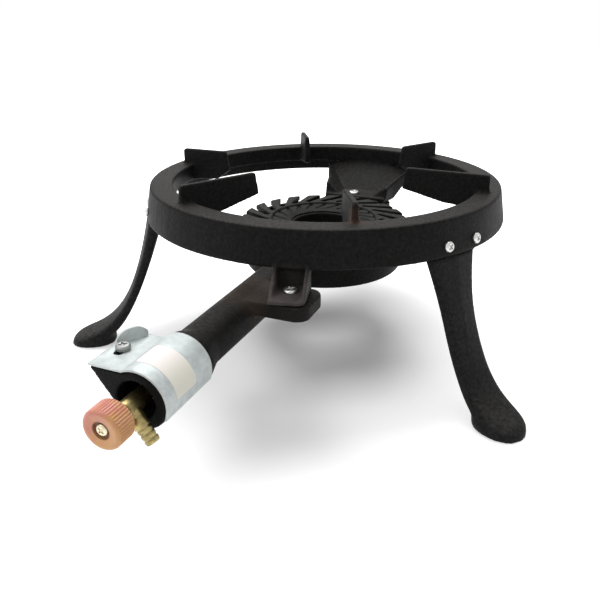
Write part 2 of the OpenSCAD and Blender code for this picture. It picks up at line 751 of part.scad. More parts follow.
// Ear beside the tube, under the front bracket.
module ear() {
    end_x = front_screw_x + ear_reach - ear_corner;
    translate([0, 0, ear_top_z - ear_t]) linear_extrude(ear_t) polygon(concat(
        [[0, front_screw_y + ear_half], [0, front_screw_y - ear_half]],
        arc(end_x, front_screw_y - ear_half + ear_corner, ear_corner, -90, 0),
        arc(end_x, front_screw_y + ear_half - ear_corner, ear_corner, 0, 90)));
}

// Lug behind the drum, under the rear bracket.
module rear_lug() {
    corner = 6;
    end_y = rear_screw_r + rear_lug_end - corner;
    side_x = rear_lug_w / 2 - corner;
    translate([rear_shift, 0, rear_lug_top_z - rear_lug_t]) linear_extrude(rear_lug_t) polygon(concat(
        [[-rear_lug_w / 2, core_wall_r], [rear_lug_w / 2, core_wall_r]],
        arc(side_x, end_y, corner, 0, 90), arc(-side_x, end_y, corner, 90, 180)));
}

// Plan of all that lies behind the shutter's slanted fold line.
module behind_fold(inset) {
    translate(fold_from) rotate(fold_angle) translate([-2 * flat_len, -inset]) square(4 * flat_len);
}

// Solid wing beside the mouth that the shutter is clamped on; the flat side trims its lower edge.
module clamp_wing() {
    difference() {
        across_tube(mouth_s - wing_len, mouth_s) polygon([
            [0, wing_top], [-2 * barrel_r, wing_top], [-2 * barrel_r, -barrel_r / 4], [0, -barrel_r / 4]]);
        translate([0, 0, tube_z - barrel_r]) linear_extrude(2 * barrel_r) behind_fold(sheet_t);
    }
}

// Everything beyond the flat on the lower left of the mouth.
module flat_side_cut() {
    translate([0, -mouth_s - 1, tube_z]) rotate([0, -flat_side_angle, 0])
        translate([flat_side_d, 0, -4 * barrel_r]) cube([3 * barrel_r, wing_len + 2, 8 * barrel_r]);
}

module bridge() {
    difference() {
        union() {
            across_tube(bridge_back_s, bridge_front_s) intersection() {
                square([bridge_w, 2 * barrel_r], center = true);
                circle(r = mouth_bore_r + 1);
            }
            tube_part(bridge_boss_r, bridge_back_s, bridge_front_s);
        }
        tube_part(shank_d / 2 + hole_play / 2, bridge_back_s - 1, bridge_front_s + 1);
    }
}

module burner_body() {
    color(cast_black) union() {
        difference() {
            union() {
                drum();
                tube_outside();
                ear();
                rear_lug();
                clamp_wing();
            }
            chamber();
            cylinder(h = 2 * ring_top_z, r = core_r);
            // bore, widening to the mouth
            along_tube() rotate_extrude() polygon([
                [0, drum_r - 3 * drum_wall], [bore_r, drum_r - 3 * drum_wall],
                [bore_r, mouth_s - mouth_bore_len - 8], [mouth_bore_r, mouth_s - mouth_bore_len],
                [mouth_bore_r, mouth_s + 1], [0, mouth_s + 1]]);
            flat_side_cut();
            at_front_screw(ear_top_z - ear_t - 1) cylinder(h = ear_t + 2, r = hole_r);
            at_rear_screw(rear_lug_top_z - rear_lug_t - 1) cylinder(h = rear_lug_t + 2, r = hole_r);
            translate([-clamp_x, -clamp_s, tube_z + wing_top - clamp_depth])
                cylinder(h = barrel_r, r = thread_r + seat / 2);
        }
        bridge();
    }
}

// Wedge that widens from w_in to w_out along +X, standing on z = 0.
module wedge(length, w_in, w_out, h) {
    linear_extrude(h) polygon([
        [-length / 2, -w_in / 2], [length / 2, -w_out / 2], [length / 2, w_out / 2], [-length / 2, w_in / 2]]);
}

// Toothed crown that lies on the drum; the flames stand in the slanted slots.
module burner_cap() {
    tooth_mid_r = (tooth_root_r + cap_r) / 2 + 4;
    tooth_slot_len = (cap_r - tooth_root_r + 8) / cos(slot_slant);
    inner_mid_r = (core_wall_r + inner_row_r) / 2 + 1;
    inner_slot_len = (inner_row_r - core_wall_r - 2) / cos(slot_slant);
    color(cast_black) difference() {
        rotate_extrude($fn = 144) polygon([
            [core_r + 2, cap_bottom_z], [cap_r, cap_bottom_z], [cap_r, cap_bottom_z + tooth_h * 0.8],
            [cap_r - tooth_h * 0.3, cap_bottom_z + tooth_h], [tooth_root_r - 2, cap_bottom_z + tooth_h],
            [inner_row_r, cap_bottom_z + inner_row_h], [core_wall_r + 3, cap_bottom_z + inner_row_h],
            [core_r + 2, cap_bottom_z + inner_row_h * 0.4]]);
        for (i = [0:tooth_count - 1]) rotate([0, 0, 360 * i / tooth_count])
            translate([tooth_mid_r, 0, cap_bottom_z - 1]) rotate([0, 0, -slot_slant])
                wedge(tooth_slot_len, slot_w, slot_rim_w, tooth_h + 2);
        for (i = [0:inner_count - 1]) rotate([0, 0, 360 * i / inner_count])
            translate([inner_mid_r, 0, cap_bottom_z + inner_row_h]) rotate([0, 0, -slot_slant])
                cube([inner_slot_len, inner_slot_w, inner_row_h], center = true);
    }
}

module front_burner_screw() {
    color(bright_zinc) at_front_screw(bracket_foot_z) pan_screw(screw_d, front_screw_len, burner_head_d, head_h);
}

module rear_burner_screw() {
    color(bright_zinc) at_rear_screw(rear_foot_z) pan_screw(screw_d, rear_screw_len, burner_head_d, head_h);
}

module burner_nuts() {
    color(bright_zinc) {
        at_front_screw(ear_top_z - ear_t - nut_h) hex_nut(nut_af, nut_h, thread_r);
        at_rear_screw(rear_lug_top_z - rear_lug_t - nut_h) hex_nut(nut_af, nut_h, thread_r);
    }
}

// ---------- air shutter ----------

module sheet_arc() {
    translate([barrel_shift, 0]) difference() {
        circle(r = sheet_out_r);
        circle(r = sheet_in_r);
        // open from the lower edge round the left to where the flat wing starts
        polygon(concat([[0, 0]], [for (i = [0:6])
            let (a = sheet_top_angle + (360 + sheet_low_angle - sheet_top_angle) * i / 6)
            [2 * sheet_out_r * cos(a), 2 * sheet_out_r * sin(a)]]));
    }
}

module air_shutter() {
    join_x = barrel_shift - sheet_in_r * cos(180 - sheet_top_angle);
    thumb_start = 3;
    color(bright_zinc) difference() {
        union() {
            across_tube(shutter_s - shutter_len, shutter_s) sheet_arc();
            difference() {
                across_tube(shutter_s - flat_len, shutter_s) difference() {
                    translate([-flat_edge_x, flat_top - sheet_t]) square([flat_edge_x + join_x + sheet_t, sheet_t]);
                    translate([barrel_shift, 0]) circle(r = sheet_in_r);
                }
                translate([0, 0, tube_z]) linear_extrude(2 * flat_top) behind_fold(0);
            }
            // thumb tab, folded up along the wing's slanted edge
            translate([fold_from[0], fold_from[1], tube_z + flat_top - sheet_t])
                rotate([0, 0, fold_angle]) translate([thumb_start, 0, 0])
                rotate([90, 0, 0]) linear_extrude(sheet_t) union() {
                    square([thumb_len, thumb_h - thumb_len / 4]);
                    intersection() {
                        translate([thumb_len / 2, thumb_h - thumb_len * 0.55]) circle(r = thumb_len * 0.62);
                        square([thumb_len, thumb_h + sheet_t]);
                    }
                }
        }
        // slot for the clamp screw
        translate([-clamp_x, 0, tube_z + flat_top - 2 * sheet_t]) linear_extrude(3 * sheet_t) union() {
            translate([0, -slot_front_s]) circle(d = clamp_slot_w);
            translate([0, -slot_back_s]) circle(d = clamp_slot_w);
            translate([-clamp_slot_w / 2, -slot_front_s]) square([clamp_slot_w, slot_front_s - slot_back_s]);
        }
    }
}

module shutter_screw() {
    color(bright_zinc) translate([-clamp_x, -clamp_s, clamp_head_z])
        pan_screw(screw_d, clamp_screw_len, clamp_head_d, head_h);
}

module shutter_washer() {
    color(bright_zinc) translate([-clamp_x, -clamp_s, clamp_head_z - washer_t])
        washer(clamp_head_d - 0.4, washer_t, hole_r);
}

// ---------- tap ----------

// Places a shape on the nozzle's axis, with +Z pointing to the hose.
module on_nozzle() {
    translate([0, -nozzle_s, tube_z]) rotate([0, 180 - nozzle_tilt, 0]) children();
}

module tap_body() {
    collar_seat = body_d / 2 + 1;
    color(brass_yellow) difference() {
        union() {
            tube_part(shank_d / 2, shank_end_s, body_back_s + eps);
            tube_part(body_d / 2, body_back_s, body_front_s);
            on_nozzle() cylinder(h = collar_seat, r = collar_r + 0.2);
        }
        tube_part(spindle_bore_r, spindle_back_s - 1, body_front_s + 1);
        tube_part(gas_r, shank_end_s - 1, spindle_back_s);
        on_nozzle() cylinder(h = collar_seat + 1, r = gas_r);
    }
}

module hose_nozzle() {
    collar_seat = body_d / 2 + 1 + seat / 2;
    barb_len = (nozzle_reach - collar_end) / barb_count;
    color(brass_yellow) on_nozzle() difference() {
        union() {
            translate([0, 0, collar_seat]) cylinder(h = collar_end - collar_seat, r = collar_r);
            for (i = [0:barb_count - 1]) translate([0, 0, collar_end + i * barb_len - eps]) {
                cylinder(h = barb_len * 0.3, r = barb_r - barb_depth);
                translate([0, 0, barb_len * 0.3 - eps]) cylinder(h = barb_len * 0.4, r = barb_r);
                translate([0, 0, barb_len * 0.7 - 2 * eps])
                    cylinder(h = barb_len * 0.3 + 3 * eps, r1 = barb_r, r2 = barb_r - barb_depth);
            }
        }
        cylinder(h = nozzle_reach + 1, r = gas_r);
    }
}

module tap_locknuts() {
    color(brass_yellow) {
        along_tube(bridge_front_s + seat / 2) hex_nut(locknut_af, locknut_t, shank_d / 2);
        along_tube(bridge_back_s - seat / 2 - locknut_t) hex_nut(locknut_af, locknut_t, shank_d / 2);
    }
}

// Jet on the shank's inner end that blows gas into the tube.
module injector() {
    jet_len = 8;
    color(brass_yellow) along_tube(shank_end_s) rotate([180, 0, 0]) difference() {
        union() {
            cylinder(h = jet_len * 0.5, r = shank_d * 0.45, $fn = 6);
            translate([0, 0, jet_len * 0.5 - eps])
                cylinder(h = jet_len * 0.5, r1 = shank_d * 0.35, r2 = shank_d * 0.2);
        }
        translate([0, 0, -1]) cylinder(h = jet_len + 2, r = 0.5, $fn = 24);
    }
}

module gland_nut() {
    color(brass_yellow) along_tube(body_front_s) hex_nut(gland_af, gland_len, spindle_bore_r);
}

module spindle() {
    color(brass_yellow) difference() {
        tube_part(spindle_r, spindle_back_s, recess_floor_s);
        // groove for the O-ring
        along_tube(oring_s) rotate_extrude() translate([groove_r, -oring_cord_r - 0.2])
            square([2 * spindle_r, 2 * oring_cord_r + 0.4]);
        tube_part(knob_screw_d / 2, recess_floor_s - knob_screw_len, recess_floor_s + 1);
    }
}

module spindle_oring() {
    color(seal_black) along_tube(oring_s) rotate_extrude()
        translate([groove_r + oring_cord_r, 0]) circle(r = oring_cord_r, $fn = 32);
}

// ---------- knob ----------

module knob() {
    rim = knob_d / 2;
    color(knob_red) difference() {
        intersection() {
            along_tube(knob_back_s) linear_extrude(knob_len) polygon([
                for (i = [0:4 * rib_count - 1])
                    let (r = rim - (i % 4 < 2 ? 0 : rib_depth), a = 90 * i / rib_count) [r * cos(a), r * sin(a)]]);
            along_tube(knob_back_s) rotate_extrude() polygon(concat(
                [[0, 0], [rim - 1, 0], [rim + 0.5, 1.5], [rim + 0.5, knob_len - knob_bevel]],
                arc(rim - knob_bevel, knob_len - knob_bevel, knob_bevel + seat, 0, 90),
                [[recess_d / 2 + 1.5, knob_len - 0.6], [0, knob_len - 0.6]]));
        }
        tube_part(recess_d / 2, recess_floor_s, knob_front_s + 1);
        tube_part(spindle_r, knob_back_s - 1, recess_floor_s + eps);
    }
}

module knob_screw() {
    color(bright_zinc) along_tube(recess_floor_s)
        pan_screw(knob_screw_d, knob_screw_len, knob_head_d, knob_head_h);
}

pot_ring();
leg_right();
leg_left();
leg_rear();
leg_screws();
leg_washers();
leg_nuts();
burner_body();
burner_cap();
front_burner_screw();
rear_burner_screw();
burner_nuts();
air_shutter();
shutter_screw();
shutter_washer();
tap_body();
tap_locknuts();
injector();
hose_nozzle();
gland_nut();
spindle();
spindle_oring();
knob();
knob_screw();
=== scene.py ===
import math

import bmesh
import bpy
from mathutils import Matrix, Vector


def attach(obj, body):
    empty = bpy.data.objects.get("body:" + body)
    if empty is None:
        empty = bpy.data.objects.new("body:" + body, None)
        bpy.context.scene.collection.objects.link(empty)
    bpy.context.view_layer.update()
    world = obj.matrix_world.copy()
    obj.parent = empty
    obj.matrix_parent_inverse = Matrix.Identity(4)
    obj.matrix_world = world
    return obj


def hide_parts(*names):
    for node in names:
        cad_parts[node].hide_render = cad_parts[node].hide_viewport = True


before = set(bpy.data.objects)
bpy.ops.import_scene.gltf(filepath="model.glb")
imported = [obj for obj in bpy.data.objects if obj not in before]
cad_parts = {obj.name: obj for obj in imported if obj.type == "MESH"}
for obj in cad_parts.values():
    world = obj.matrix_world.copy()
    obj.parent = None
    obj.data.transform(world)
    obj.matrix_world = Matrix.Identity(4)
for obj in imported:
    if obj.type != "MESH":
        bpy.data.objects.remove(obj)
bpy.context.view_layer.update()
scene = bpy.context.scene
scene.view_settings.view_transform = "Standard"


# ---------- Studio ----------
# A plain white table under even soft light. The camera stands in front of the tap, a little to
# the right and above the ring. One large soft lamp hangs behind the ring, to the left, and a
# weaker one in front, to the left. Lengths here and below are in metres.
camera_place = (0.1983, -0.5303, 0.2802)
camera_turn = math.radians(22.634)
camera_dip = 0.4265
camera_roll = 0.0014

camera_data = bpy.data.cameras.new("camera")
camera_data.lens = 39.09
camera_data.sensor_width = 36.0
camera_data.clip_start = 0.02
camera_data.clip_end = 30.0
camera = bpy.data.objects.new("camera", camera_data)
camera.location = camera_place
camera.rotation_euler = (math.pi / 2 - camera_dip, camera_roll, camera_turn)
scene.collection.objects.link(camera)
scene.camera = camera


def new_material(name):
    """A material with an empty node tree, its output and a function that adds linked nodes."""
    material = bpy.data.materials.new(name)
    material.use_nodes = True
    tree = material.node_tree
    tree.nodes.clear()
    output = tree.nodes.new("ShaderNodeOutputMaterial")

    def add(kind, links=None, **settings):
        node = tree.nodes.new(kind)
        for key, value in settings.items():
            if key.startswith("in_"):
                node.inputs[key[3:].replace("_", " ")].default_value = value
            else:
                setattr(node, key, value)
        for socket, source in (links or {}).items():
            tree.links.new(source, node.inputs[socket])
        return node

    return material, tree, output, add


def ramp(add, value, start=0.0, end=1.0, at_start=0.0, at_end=1.0, soft=False):
    """Turns a value that runs from start to end into one that runs from at_start to at_end."""
    curve = "SMOOTHSTEP" if soft else "LINEAR"
    node = add("ShaderNodeMapRange", links={"Value": value}, interpolation_type=curve,
               in_From_Min=start, in_From_Max=end, in_To_Min=at_start, in_To_Max=at_end)
    return node.outputs["Result"]


def distance_from(add, place, point):
    """How far each place of a surface is from one point."""
    away = add("ShaderNodeVectorMath", links={0: place}, operation="DISTANCE")
    away.inputs[1].default_value = point
    return away.outputs["Value"]


def backdrop_rays(tree):
    """1 for the rays that show the white backdrop: straight, mirrored or through glass."""
    rays = tree.nodes.new("ShaderNodeLightPath")
    shown = rays.outputs["Is Camera Ray"]
    for kind in ("Is Glossy Ray", "Is Transmission Ray"):
        either = tree.nodes.new("ShaderNodeMath")
        either.operation = "MAXIMUM"
        tree.links.new(shown, either.inputs[0])
        tree.links.new(rays.outputs[kind], either.inputs[1])
        shown = either.outputs[0]
    return shown


def studio_floor():
    """White paint that keeps the ring's shadow and goes over into the white backdrop."""
    shadow_middle = (0.0, -0.08, 0.0)
    table_reach = 4.0
    below_soles = 0.0004

    material, tree, output, add = new_material("white_table")
    paint = add("ShaderNodeBsdfPrincipled", in_Base_Color=(0.84, 0.84, 0.84, 1), in_Roughness=0.9,
                in_Specular_IOR_Level=0.1)
    place = add("ShaderNodeTexCoord").outputs["Object"]
    # Painted shadow: without the lift near shadow_middle the floor stays grey round the ring's real
    # shadow, fading into the white backdrop further out.
    far = ramp(add, distance_from(add, place, shadow_middle), start=0.06, end=0.30,
               at_start=0.02, at_end=0.95, soft=True)
    lift = add("ShaderNodeEmission", links={"Strength": far}, in_Color=(1, 1, 1, 1))
    nothing = add("ShaderNodeEmission", in_Color=(0, 0, 0, 1), in_Strength=0.0)
    seen = add("ShaderNodeMixShader",
               links={0: backdrop_rays(tree), 1: nothing.outputs[0], 2: lift.outputs[0]})
    both = add("ShaderNodeAddShader", links={0: paint.outputs[0], 1: seen.outputs[0]})
    tree.links.new(both.outputs[0], output.inputs["Surface"])

    mesh = bpy.data.meshes.new("table")
    work = bmesh.new()
    bmesh.ops.create_grid(work, x_segments=8, y_segments=8, size=table_reach)
    work.to_mesh(mesh)
    work.free()
    floor = bpy.data.objects.new("table", mesh)
    floor.location = (0, 0, -below_soles)
    mesh.materials.append(material)
    scene.collection.objects.link(floor)


def studio_light():
    """A grey world that shows itself white, and two soft square lamps aimed at the burner."""
    aim = Vector((0, 0, 0.08))
    lamps = (("key", (-0.40, 0.60, 1.5), 1.2, 23.0),
             ("fill", (-0.9, -1.1, 1.2), 1.0, 8.0))

    world = bpy.data.worlds.new("studio")
    scene.world = world
    world.use_nodes = True
    tree = world.node_tree
    tree.nodes.clear()
    output = tree.nodes.new("ShaderNodeOutputWorld")
    mix = tree.nodes.new("ShaderNodeMixShader")
    tree.links.new(backdrop_rays(tree), mix.inputs[0])
    for slot, strength in ((1, 0.50), (2, 1.0)):
        sky = tree.nodes.new("ShaderNodeBackground")
        sky.inputs["Color"].default_value = (1.0, 1.0, 1.0, 1)
        sky.inputs["Strength"].default_value = strength
        tree.links.new(sky.outputs[0], mix.inputs[slot])
    tree.links.new(mix.outputs[0], output.inputs["Surface"])

    for name, place, size, power in lamps:
        data = bpy.data.lights.new(name, "AREA")
        data.shape = "SQUARE"
        data.size = size
        data.energy = power
        lamp = bpy.data.objects.new(name, data)
        lamp.location = place
        lamp.rotation_mode = "QUATERNION"
        lamp.rotation_quaternion = (Vector(place) - aim).to_track_quat("Z", "Y")
        scene.collection.objects.link(lamp)


studio_floor()
studio_light()


# ---------- Pot ring ----------
# One grey-iron sand casting, painted with a thin matte black baked coat: the band with its
# flange and inner lip, six fins for the pot, and the two brackets that carry the burner.
# The edges are rounded as sand moulds leave them, and the coat shows a fine grain.
def noise(add, place, scale, detail, roughness=0.5):
    """Cloudy noise in the object's own space; its scale is in waves to the metre."""
    clouds = add("ShaderNodeTexNoise", links={"Vector": place}, in_Scale=scale, in_Detail=detail,
                 in_Roughness=roughness)
    return clouds.outputs[0]


def mixed(add, amount, first, second):
    """Two tones mixed; the second is a colour, the first a colour or a node's output."""
    mix = add("ShaderNodeMix", links={0: amount}, data_type="RGBA")
    colour_a, colour_b, result = mix.inputs[6], mix.inputs[7], mix.outputs[2]
    if isinstance(first, tuple):
        colour_a.default_value = (*first, 1)
    else:
        mix.id_data.links.new(first, colour_a)
    colour_b.default_value = (*second, 1)
    return result


def relief(add, height, depth, strength, over=None):
    """Bump of one height, laid over the bump under it."""
    links = {"Height": height}
    if over is not None:
        links["Normal"] = over
    bump = add("ShaderNodeBump", links=links, in_Distance=depth, in_Strength=strength)
    return bump.outputs[0]


def cast_iron(name, coat, dust, grain, sheen, spots=()):
    """Black baked coat over cast iron: coat and dust are its two tones, grain its bump in metres.

    Each spot is a place, its radius and the tone laid there, such as dust, rust, painted light or
    painted shade.
    """
    dust_most, dust_least = 0.8, 0.02
    bare_edge_and_highlight = (0.11, 0.107, 0.10)
    sheen_spread = 0.14
    coat_gloss = 0.07
    spot_core = 0.35

    material, tree, output, add = new_material(name)
    place = add("ShaderNodeTexCoord").outputs["Object"]
    shade = add("ShaderNodeNewGeometry")
    clouds = noise(add, place, 22.0, 6.0, 0.6)
    sand = noise(add, place, 900.0, 5.0, 0.65)
    lumps = noise(add, place, 380.0, 4.0, 0.7)
    pits = add("ShaderNodeTexVoronoi", links={"Vector": place}, in_Scale=420.0).outputs[0]

    # Dust lies on what faces up, in soft patches.
    facing = add("ShaderNodeSeparateXYZ", links={0: shade.outputs["Normal"]})
    upward = ramp(add, facing.outputs["Z"], start=0.62, end=1.0)
    patch = ramp(add, clouds, start=0.30, end=0.72, at_start=0.35)
    dusty = add("ShaderNodeMath", links={0: upward, 1: patch}, operation="MULTIPLY")
    dust_depth = add("ShaderNodeMath", links={0: dusty.outputs[0]}, operation="MULTIPLY_ADD")
    dust_depth.inputs[1].default_value = dust_most
    dust_depth.inputs[2].default_value = dust_least
    tone = mixed(add, dust_depth.outputs[0], coat, dust)

    # Sharp edges are lightened in specks, as coat rubbed through and as a painted highlight. The
    # tone is mottled all over.
    edge_wear_and_highlight = ramp(add, shade.outputs["Pointiness"], start=0.53, end=0.60, at_end=0.60)
    speck = add("ShaderNodeMath", links={0: edge_wear_and_highlight, 1: sand}, operation="MULTIPLY")
    edged = mixed(add, speck.outputs[0], tone, bare_edge_and_highlight)
    blotch = ramp(add, lumps, start=0.38, end=0.64, at_start=0.55, at_end=1.60)
    mottled = add("ShaderNodeVectorMath", links={0: edged, 3: blotch}, operation="SCALE")
    look = mottled.outputs[0]
    # Spots mix their tone in patches: some are dust and rust, others painted light and painted
    # shade.
    for spot, radius, spot_tone in spots:
        near = ramp(add, distance_from(add, place, spot), start=radius, end=radius * spot_core,
                    soft=True)
        thick = add("ShaderNodeMath", links={0: near, 1: patch}, operation="MULTIPLY")
        look = mixed(add, thick.outputs[0], look, spot_tone)

    rough = ramp(add, clouds, start=0.3, end=0.7, at_start=sheen, at_end=sheen + sheen_spread)
    fine = relief(add, sand, depth=grain, strength=0.5)
    pitted = relief(add, pits, depth=grain * 0.6, strength=0.4, over=fine)
    coarse = relief(add, lumps, depth=grain * 3.6, strength=0.6, over=pitted)
    paint = add("ShaderNodeBsdfPrincipled",
                links={"Base Color": look, "Roughness": rough, "Normal": coarse},
                in_Specular_IOR_Level=coat_gloss)
    tree.links.new(paint.outputs[0], output.inputs["Surface"])
    return material


def copy_of(node, name):
    """A piece with the same closed mesh as a solid of the frame."""
    piece = bpy.data.objects.new(name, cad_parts[node].data.copy())
    piece.data.materials.clear()
    scene.collection.objects.link(piece)
    work = bmesh.new()
    work.from_mesh(piece.data)
    bmesh.ops.remove_doubles(work, verts=work.verts, dist=1e-6)
    work.to_mesh(piece.data)
    work.free()
    return piece


def finished(piece):
    """Turns a piece's modifiers into its mesh."""
    graph = bpy.context.evaluated_depsgraph_get()
    mesh = bpy.data.meshes.new_from_object(piece.evaluated_get(graph))
    piece.modifiers.clear()
    piece.data = mesh
    return piece


def as_cast(piece, grid, passes, keep):
    """Rounds every edge and inner corner of a solid as a sand mould does.

    The grid sets the finest form in metres, passes how soft it becomes, and keep the share of
    the triangles that stays.
    """
    form = piece.modifiers.new("mould", "REMESH")
    form.mode = "VOXEL"
    form.voxel_size = grid
    soften = piece.modifiers.new("soften", "SMOOTH")
    soften.factor = 0.5
    soften.iterations = passes
    thin = piece.modifiers.new("thin_out", "DECIMATE")
    thin.ratio = keep
    finished(piece)
    piece.data.shade_smooth()
    return piece


def stands_for(piece, node, body, material):
    """Gives a piece its finish and puts it in the place of a solid."""
    piece.data.materials.clear()
    piece.data.materials.append(material)
    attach(piece, body)
    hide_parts(node)


# Painted light: a paler patch on the front bracket's web, which lies in the band's shade, so that
# it looks lit.
bracket_painted_light = ((0.037, -0.168, 0.103), 0.026, (0.120, 0.103, 0.099))
fin_rust = ((0.065, -0.113, 0.143), 0.013, (0.060, 0.032, 0.021))
ring_iron = cast_iron("ring_iron", coat=(0.0070, 0.0067, 0.0066), dust=(0.029, 0.027, 0.025),
                      grain=0.00022, sheen=0.48, spots=(bracket_painted_light, fin_rust))
ring_casting = as_cast(copy_of("pot_ring", "pot_ring_casting"), grid=0.0010, passes=8, keep=0.35)
stands_for(ring_casting, "pot_ring", "stand", ring_iron)


# ---------- Legs ----------
# Three splayed iron castings, each with a flat tab inside the band and a foot that widens to the
# floor. They are cast in the same iron and coat as the ring and bolted to it.
leg_iron = cast_iron("leg_iron", coat=(0.0115, 0.0110, 0.0110), dust=(0.044, 0.042, 0.040),
                     grain=0.00025, sheen=0.48)
for side in ("right", "left", "rear"):
    leg = as_cast(copy_of("leg_" + side, "leg_casting_" + side), grid=0.0010, passes=14, keep=0.35)
    stands_for(leg, "leg_" + side, "stand", leg_iron)


# ---------- Leg fixings ----------
# Bright zinc-plated steel: cross-recess pan screws, pushed in from outside the band, with
# washers and hexagon nuts inside it. The plating is cloudy and a little scuffed.
def zinc_steel(name, tone, roughness, blotch, bare=1.0):
    """Zinc plate: cool bright metal with soft blotches and fine handling marks.

    The blotch is how far the tone goes up and down, and bare how much of it is clean metal.
    """
    material, tree, output, add = new_material(name)
    place = add("ShaderNodeTexCoord").outputs["Object"]
    clouds = noise(add, place, 190.0, 6.0, 0.68)
    marks = noise(add, place, 900.0, 4.0)
    dull = tuple(c * (1 - blotch) for c in tone)
    bright = tuple(min(1, c * (1 + blotch)) for c in tone)
    tint = mixed(add, ramp(add, clouds, start=0.36, end=0.64), dull, bright)
    rough = ramp(add, clouds, at_start=roughness - 0.06, at_end=roughness + 0.08)
    bump = relief(add, marks, depth=0.00010, strength=0.5)
    metal = add("ShaderNodeBsdfPrincipled",
                links={"Base Color": tint, "Roughness": rough, "Normal": bump}, in_Metallic=bare)
    tree.links.new(metal.outputs[0], output.inputs["Surface"])
    return material


def eased(node, name, width, corner=28.0):
    """A copy of a machined or bent solid with the edges sharper than a corner angle broken."""
    flat_within = math.radians(0.5)
    crease_over = math.radians(40)
    piece = copy_of(node, name)
    work = bmesh.new()
    work.from_mesh(piece.data)
    bmesh.ops.dissolve_limit(work, angle_limit=flat_within, verts=work.verts, edges=work.edges)
    work.to_mesh(piece.data)
    work.free()
    break_edges = piece.modifiers.new("break_edges", "BEVEL")
    break_edges.width = width
    break_edges.segments = 2
    break_edges.limit_method = "ANGLE"
    break_edges.angle_limit = math.radians(corner)
    break_edges.use_clamp_overlap = True
    finished(piece)
    piece.data.shade_smooth()
    piece.data.set_sharp_from_angle(angle=crease_over)
    return piece


screw_edge = 0.00015
screw_zinc = zinc_steel("screw_zinc", (0.56, 0.56, 0.55), roughness=0.36, blotch=0.10)
for node in ("leg_screws", "leg_washers", "leg_nuts"):
    stands_for(eased(node, node + "_plated", screw_edge), node, "stand", screw_zinc)


# ---------- Burner ----------
# The drum, mixing tube, ear, lug and mouth are one iron casting, rougher than the ring. Dust
# lies brown where the tube meets the ear, and painted shade darkens the flared mouth near black.
ear_dust = ((0.044, -0.165, 0.101), 0.026, (0.014, 0.012, 0.011))
tube_dust = ((0.004, -0.158, 0.100), 0.034, (0.058, 0.044, 0.034))
# Painted shade: the flared mouth is darkened near black.
mouth_painted_shade = ((0.000, -0.292, 0.082), 0.052, (0.0030, 0.0030, 0.0034))
burner_iron = cast_iron("burner_iron", coat=(0.0050, 0.0046, 0.0044), dust=(0.027, 0.024, 0.022),
                        grain=0.00035, sheen=0.50, spots=(ear_dust, tube_dust, mouth_painted_shade))
burner_casting = as_cast(copy_of("burner_body", "burner_casting"), grid=0.0010, passes=8, keep=0.35)
stands_for(burner_casting, "burner_body", "stand", burner_iron)


# ---------- Burner cap ----------
# A second, finer casting lies loose on the drum. Its slanted teeth part the gas into flames.
# Heat has greyed the coat on the teeth, and the coat is darker towards the open core.
core_darkening = ((0.0, 0.0, 0.100), 0.072, (0.004, 0.0038, 0.0038))
cap_iron = cast_iron("cap_iron", coat=(0.0095, 0.0097, 0.0092), dust=(0.050, 0.050, 0.046),
                     grain=0.0003, sheen=0.50, spots=(core_darkening,))
cap_casting = as_cast(copy_of("burner_cap", "burner_crown"), grid=0.0007, passes=5, keep=0.4)
stands_for(cap_casting, "burner_cap", "stand", cap_iron)


# ---------- Burner fixings ----------
# Two zinc-plated pan screws of the same kind as the legs' hold the burner's ear and lug under
# the ring's brackets, each with a nut below.
for node in ("front_burner_screw", "rear_burner_screw", "burner_nuts"):
    stands_for(eased(node, node + "_plated", screw_edge), node, "stand", screw_zinc)


# ---------- Air shutter ----------
# Zinc-plated sheet, cut with its thumb tab and slot and bent round the tube's mouth. It slides
# along the tube under one clamp screw, whose plating is given a darker tone.
sheet_zinc = zinc_steel("sheet_zinc", (0.49, 0.53, 0.525), roughness=0.58, blotch=0.11, bare=0.55)
clamp_zinc = zinc_steel("clamp_zinc", (0.27, 0.28, 0.27), roughness=0.46, blotch=0.14)
shutter_sheet = eased("air_shutter", "air_shutter_sheet", 0.0002, corner=35.0)
stands_for(shutter_sheet, "air_shutter", "shutter", sheet_zinc)
for node in ("shutter_screw", "shutter_washer"):
    stands_for(eased(node, node + "_plated", screw_edge), node, "stand", clamp_zinc)


# ---------- Shutter label ----------
# A blank cream paper label with rounded corners, stuck over the top of the shutter and round its
# right side. It is creamier where it turns down, and moves with the shutter.
def cream_paper():
    """Uncoated paper, pinkish white on top and cream down the side, with a fine fibre."""
    top_tint, side_tint = (0.88, 0.81, 0.79), (0.83, 0.81, 0.71)
    material, tree, output, add = new_material("label_paper")
    place = add("ShaderNodeTexCoord").outputs["Object"]
    lie = add("ShaderNodeSeparateXYZ", links={0: place})
    side = ramp(add, lie.outputs["Z"], start=0.103, end=0.096)
    fibre = noise(add, place, 1500.0, 3.0)
    paper = add("ShaderNodeBsdfPrincipled",
                links={"Base Color": mixed(add, side, top_tint, side_tint),
                       "Normal": relief(add, fibre, depth=0.00003, strength=1.0)},
                in_Roughness=0.6)
    tree.links.new(paper.outputs[0], output.inputs["Surface"])
    return material


